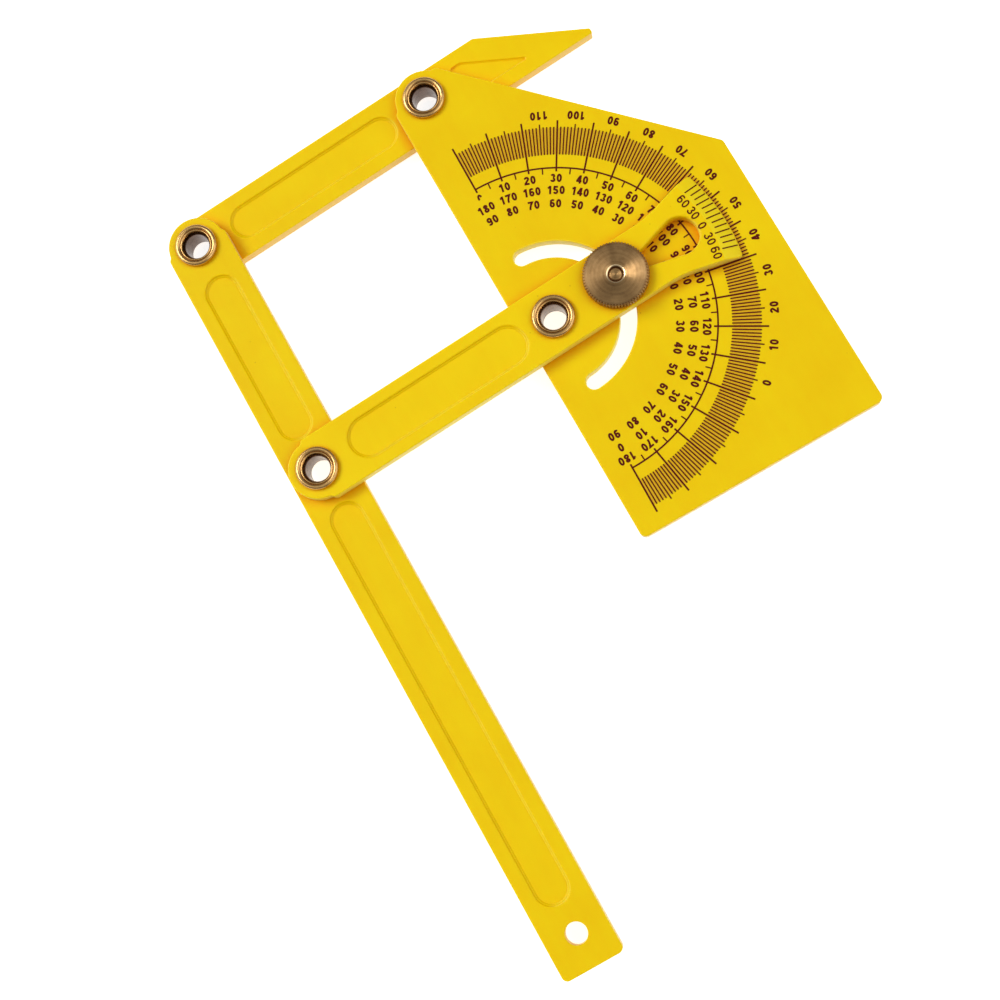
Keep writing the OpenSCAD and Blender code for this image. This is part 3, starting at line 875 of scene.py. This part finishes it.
# Thumb nut: a brass disc turned on a lathe, with fine straight teeth rolled round it for grip,
# bevelled top and bottom and countersunk round its thread.
nut_brass = turned_brass("nut_brass", paint(190, 152, 102), paint(112, 82, 50), bolt_place, 9.0)
# Painted highlight: a pale brass for the bright ring of the top chamfer round the thread.
painted_highlight_brass = polished_brass("painted_highlight_brass", paint(255, 228, 180), paint(214, 172, 118), 10.0)
nut_r = 7.5
nut_tall = 2.5
nut_bevel = 0.6
teeth = 66
nut = Piece()


def toothed(limit):
    """Outline of the teeth, cut down to a circle of that radius."""
    loop = []
    for i in range(teeth * 6):
        phase = (i % 6) / 6
        depth = 0.35 * min(1, max(0, 1.15 - 2.6 * abs(phase - 0.5)))
        loop.append(polar(bolt_place, min(nut_r - depth, limit), i * 60 / teeth))
    return loop


levels = [0, 0.12, 0.25, 0.36, 0.48, nut_bevel]
sides = [(z, nut_r - nut_bevel + z) for z in levels]
sides += [(nut_tall - z, nut_r - nut_bevel + z) for z in reversed(levels)]
rings = [nut.ring(toothed(limit), front_top + z) for z, limit in sides]
for low, high in zip(rings, rings[1:]):
    start = len(nut.faces)
    nut.band(low, high)
    # The valleys between the teeth take the dark brass, a painted shade.
    for i in range(len(low)):
        nut.finish[start + i] = i % 6 in (2, 3)
bore = [nut.ring(ring_of(bolt_place, r, True, 5), front_top + z) for r, z in
        ((2.0, 0), (bolt_hole, 0.45), (bolt_hole, nut_tall - 0.45),
         (1.8, nut_tall - 0.2), (2.1, nut_tall))]
# The countersinks and the thread take painted shade, the top chamfer a painted highlight.
for low, high, finish in zip(bore, bore[1:], (1, 1, 1, 2)):
    nut.band(low, high, finish=finish)
nut.fill([rings[0], bore[0]], up=False)
nut.fill([rings[-1], bore[-1]])
nut.done("thumb_nut_brass", [nut_brass, painted_shade_brass, painted_highlight_brass],
         "thumb_nut", "clamp_brass", "thumb_nut", sharp=35)


# Stand: a plain white table under the finder, soft lamps and the camera. The table glows softly,
# and more towards the camera so that it stays white, and keeps the finder's shadow.
bench = Bench("white_table")
path = bench.node("ShaderNodeLightPath", out="Is Camera Ray")
glossy = bench.node("ShaderNodeLightPath", out="Is Glossy Ray")
through = bench.node("ShaderNodeLightPath", out="Is Transmission Ray")
seen = bench.node("ShaderNodeMath", {"operation": "ADD", "use_clamp": True},
                  {0: path + glossy, 1: through})
matt = bench.node("ShaderNodeBsdfDiffuse", None, {"Color": (0.8, 0.8, 0.8, 1)})
glow = bench.node("ShaderNodeEmission", None, {"Color": (1, 1, 1, 1), "Strength": seen * 0.5 + 0.32})
table_white = bench.close(bench.node("ShaderNodeAddShader", None, {0: matt, 1: glow}))

# It lies just under the bolt's head, the lowest piece.
table_height = -8.12
table_half = 2000
table = Piece()
table.face(table.ring([Vector((x * table_half, y * table_half))
                       for x, y in ((-1, -1), (1, -1), (1, 1), (-1, 1))], table_height), False)
table_mesh = bpy.data.meshes.new("table")
table_mesh.from_pydata([Vector(p) * mm for p in table.points], [], table.faces)
table_mesh.materials.append(table_white)
table_top = bpy.data.objects.new("table", table_mesh)
bpy.context.scene.collection.objects.link(table_top)

# The room is bright to the left and right of the picture and darker above and below it.
bench = Bench("room", bpy.data.worlds)
sky = bench.node("ShaderNodeTexCoord", out="Generated")
dim = bench.ramp(bench.unsigned(bench.along(sky, (-0.51, -0.86, 0))), 0.3, 0.75)
white = (1, 1, 1, 1)
bright_wall = bench.node("ShaderNodeBackground", None, {"Color": white, "Strength": 0.59})
dim_wall = bench.node("ShaderNodeBackground", None, {"Color": white, "Strength": 0.2})
walls = bench.node("ShaderNodeMixShader", None, {0: dim, 1: bright_wall, 2: dim_wall})
bpy.context.scene.world = bench.close(walls, "ShaderNodeOutputWorld")


def lamp(name, way, softness, strength):
    """A distant soft lamp that shines from the way given."""
    light = bpy.data.lights.new(name, "SUN")
    light.angle = math.radians(softness)
    light.energy = strength
    holder = bpy.data.objects.new(name, light)
    holder.rotation_euler = Vector(way).to_track_quat("Z", "Y").to_euler()
    bpy.context.scene.collection.objects.link(holder)


lamp("key_lamp", (-0.65, 0.6, 1.0), 30, 1.6)
lamp("fill_lamp", (0.75, -0.55, 1.0), 60, 0.8)

# The camera looks from where the photograph was taken: its place, lens and tilt were fitted to
# the ticks, the arc, the edges and the pivots.
camera_data = bpy.data.cameras.new("camera")
camera_data.lens = 62.3
camera_data.sensor_width = 36
camera_data.clip_start = 0.01
camera = bpy.data.objects.new("camera", camera_data)
look = Vector((-0.04092, 0.17350, -0.98398))
turn = look.to_track_quat("-Z", "Y").to_matrix().to_4x4() @ Matrix.Rotation(math.radians(-43.193), 4, "Z")
camera.matrix_world = Matrix.Translation(Vector((-14.941, -95.693, 377.825)) * mm) @ turn
bpy.context.scene.collection.objects.link(camera)
bpy.context.scene.camera = camera
bpy.context.scene.view_settings.view_transform = "Standard"
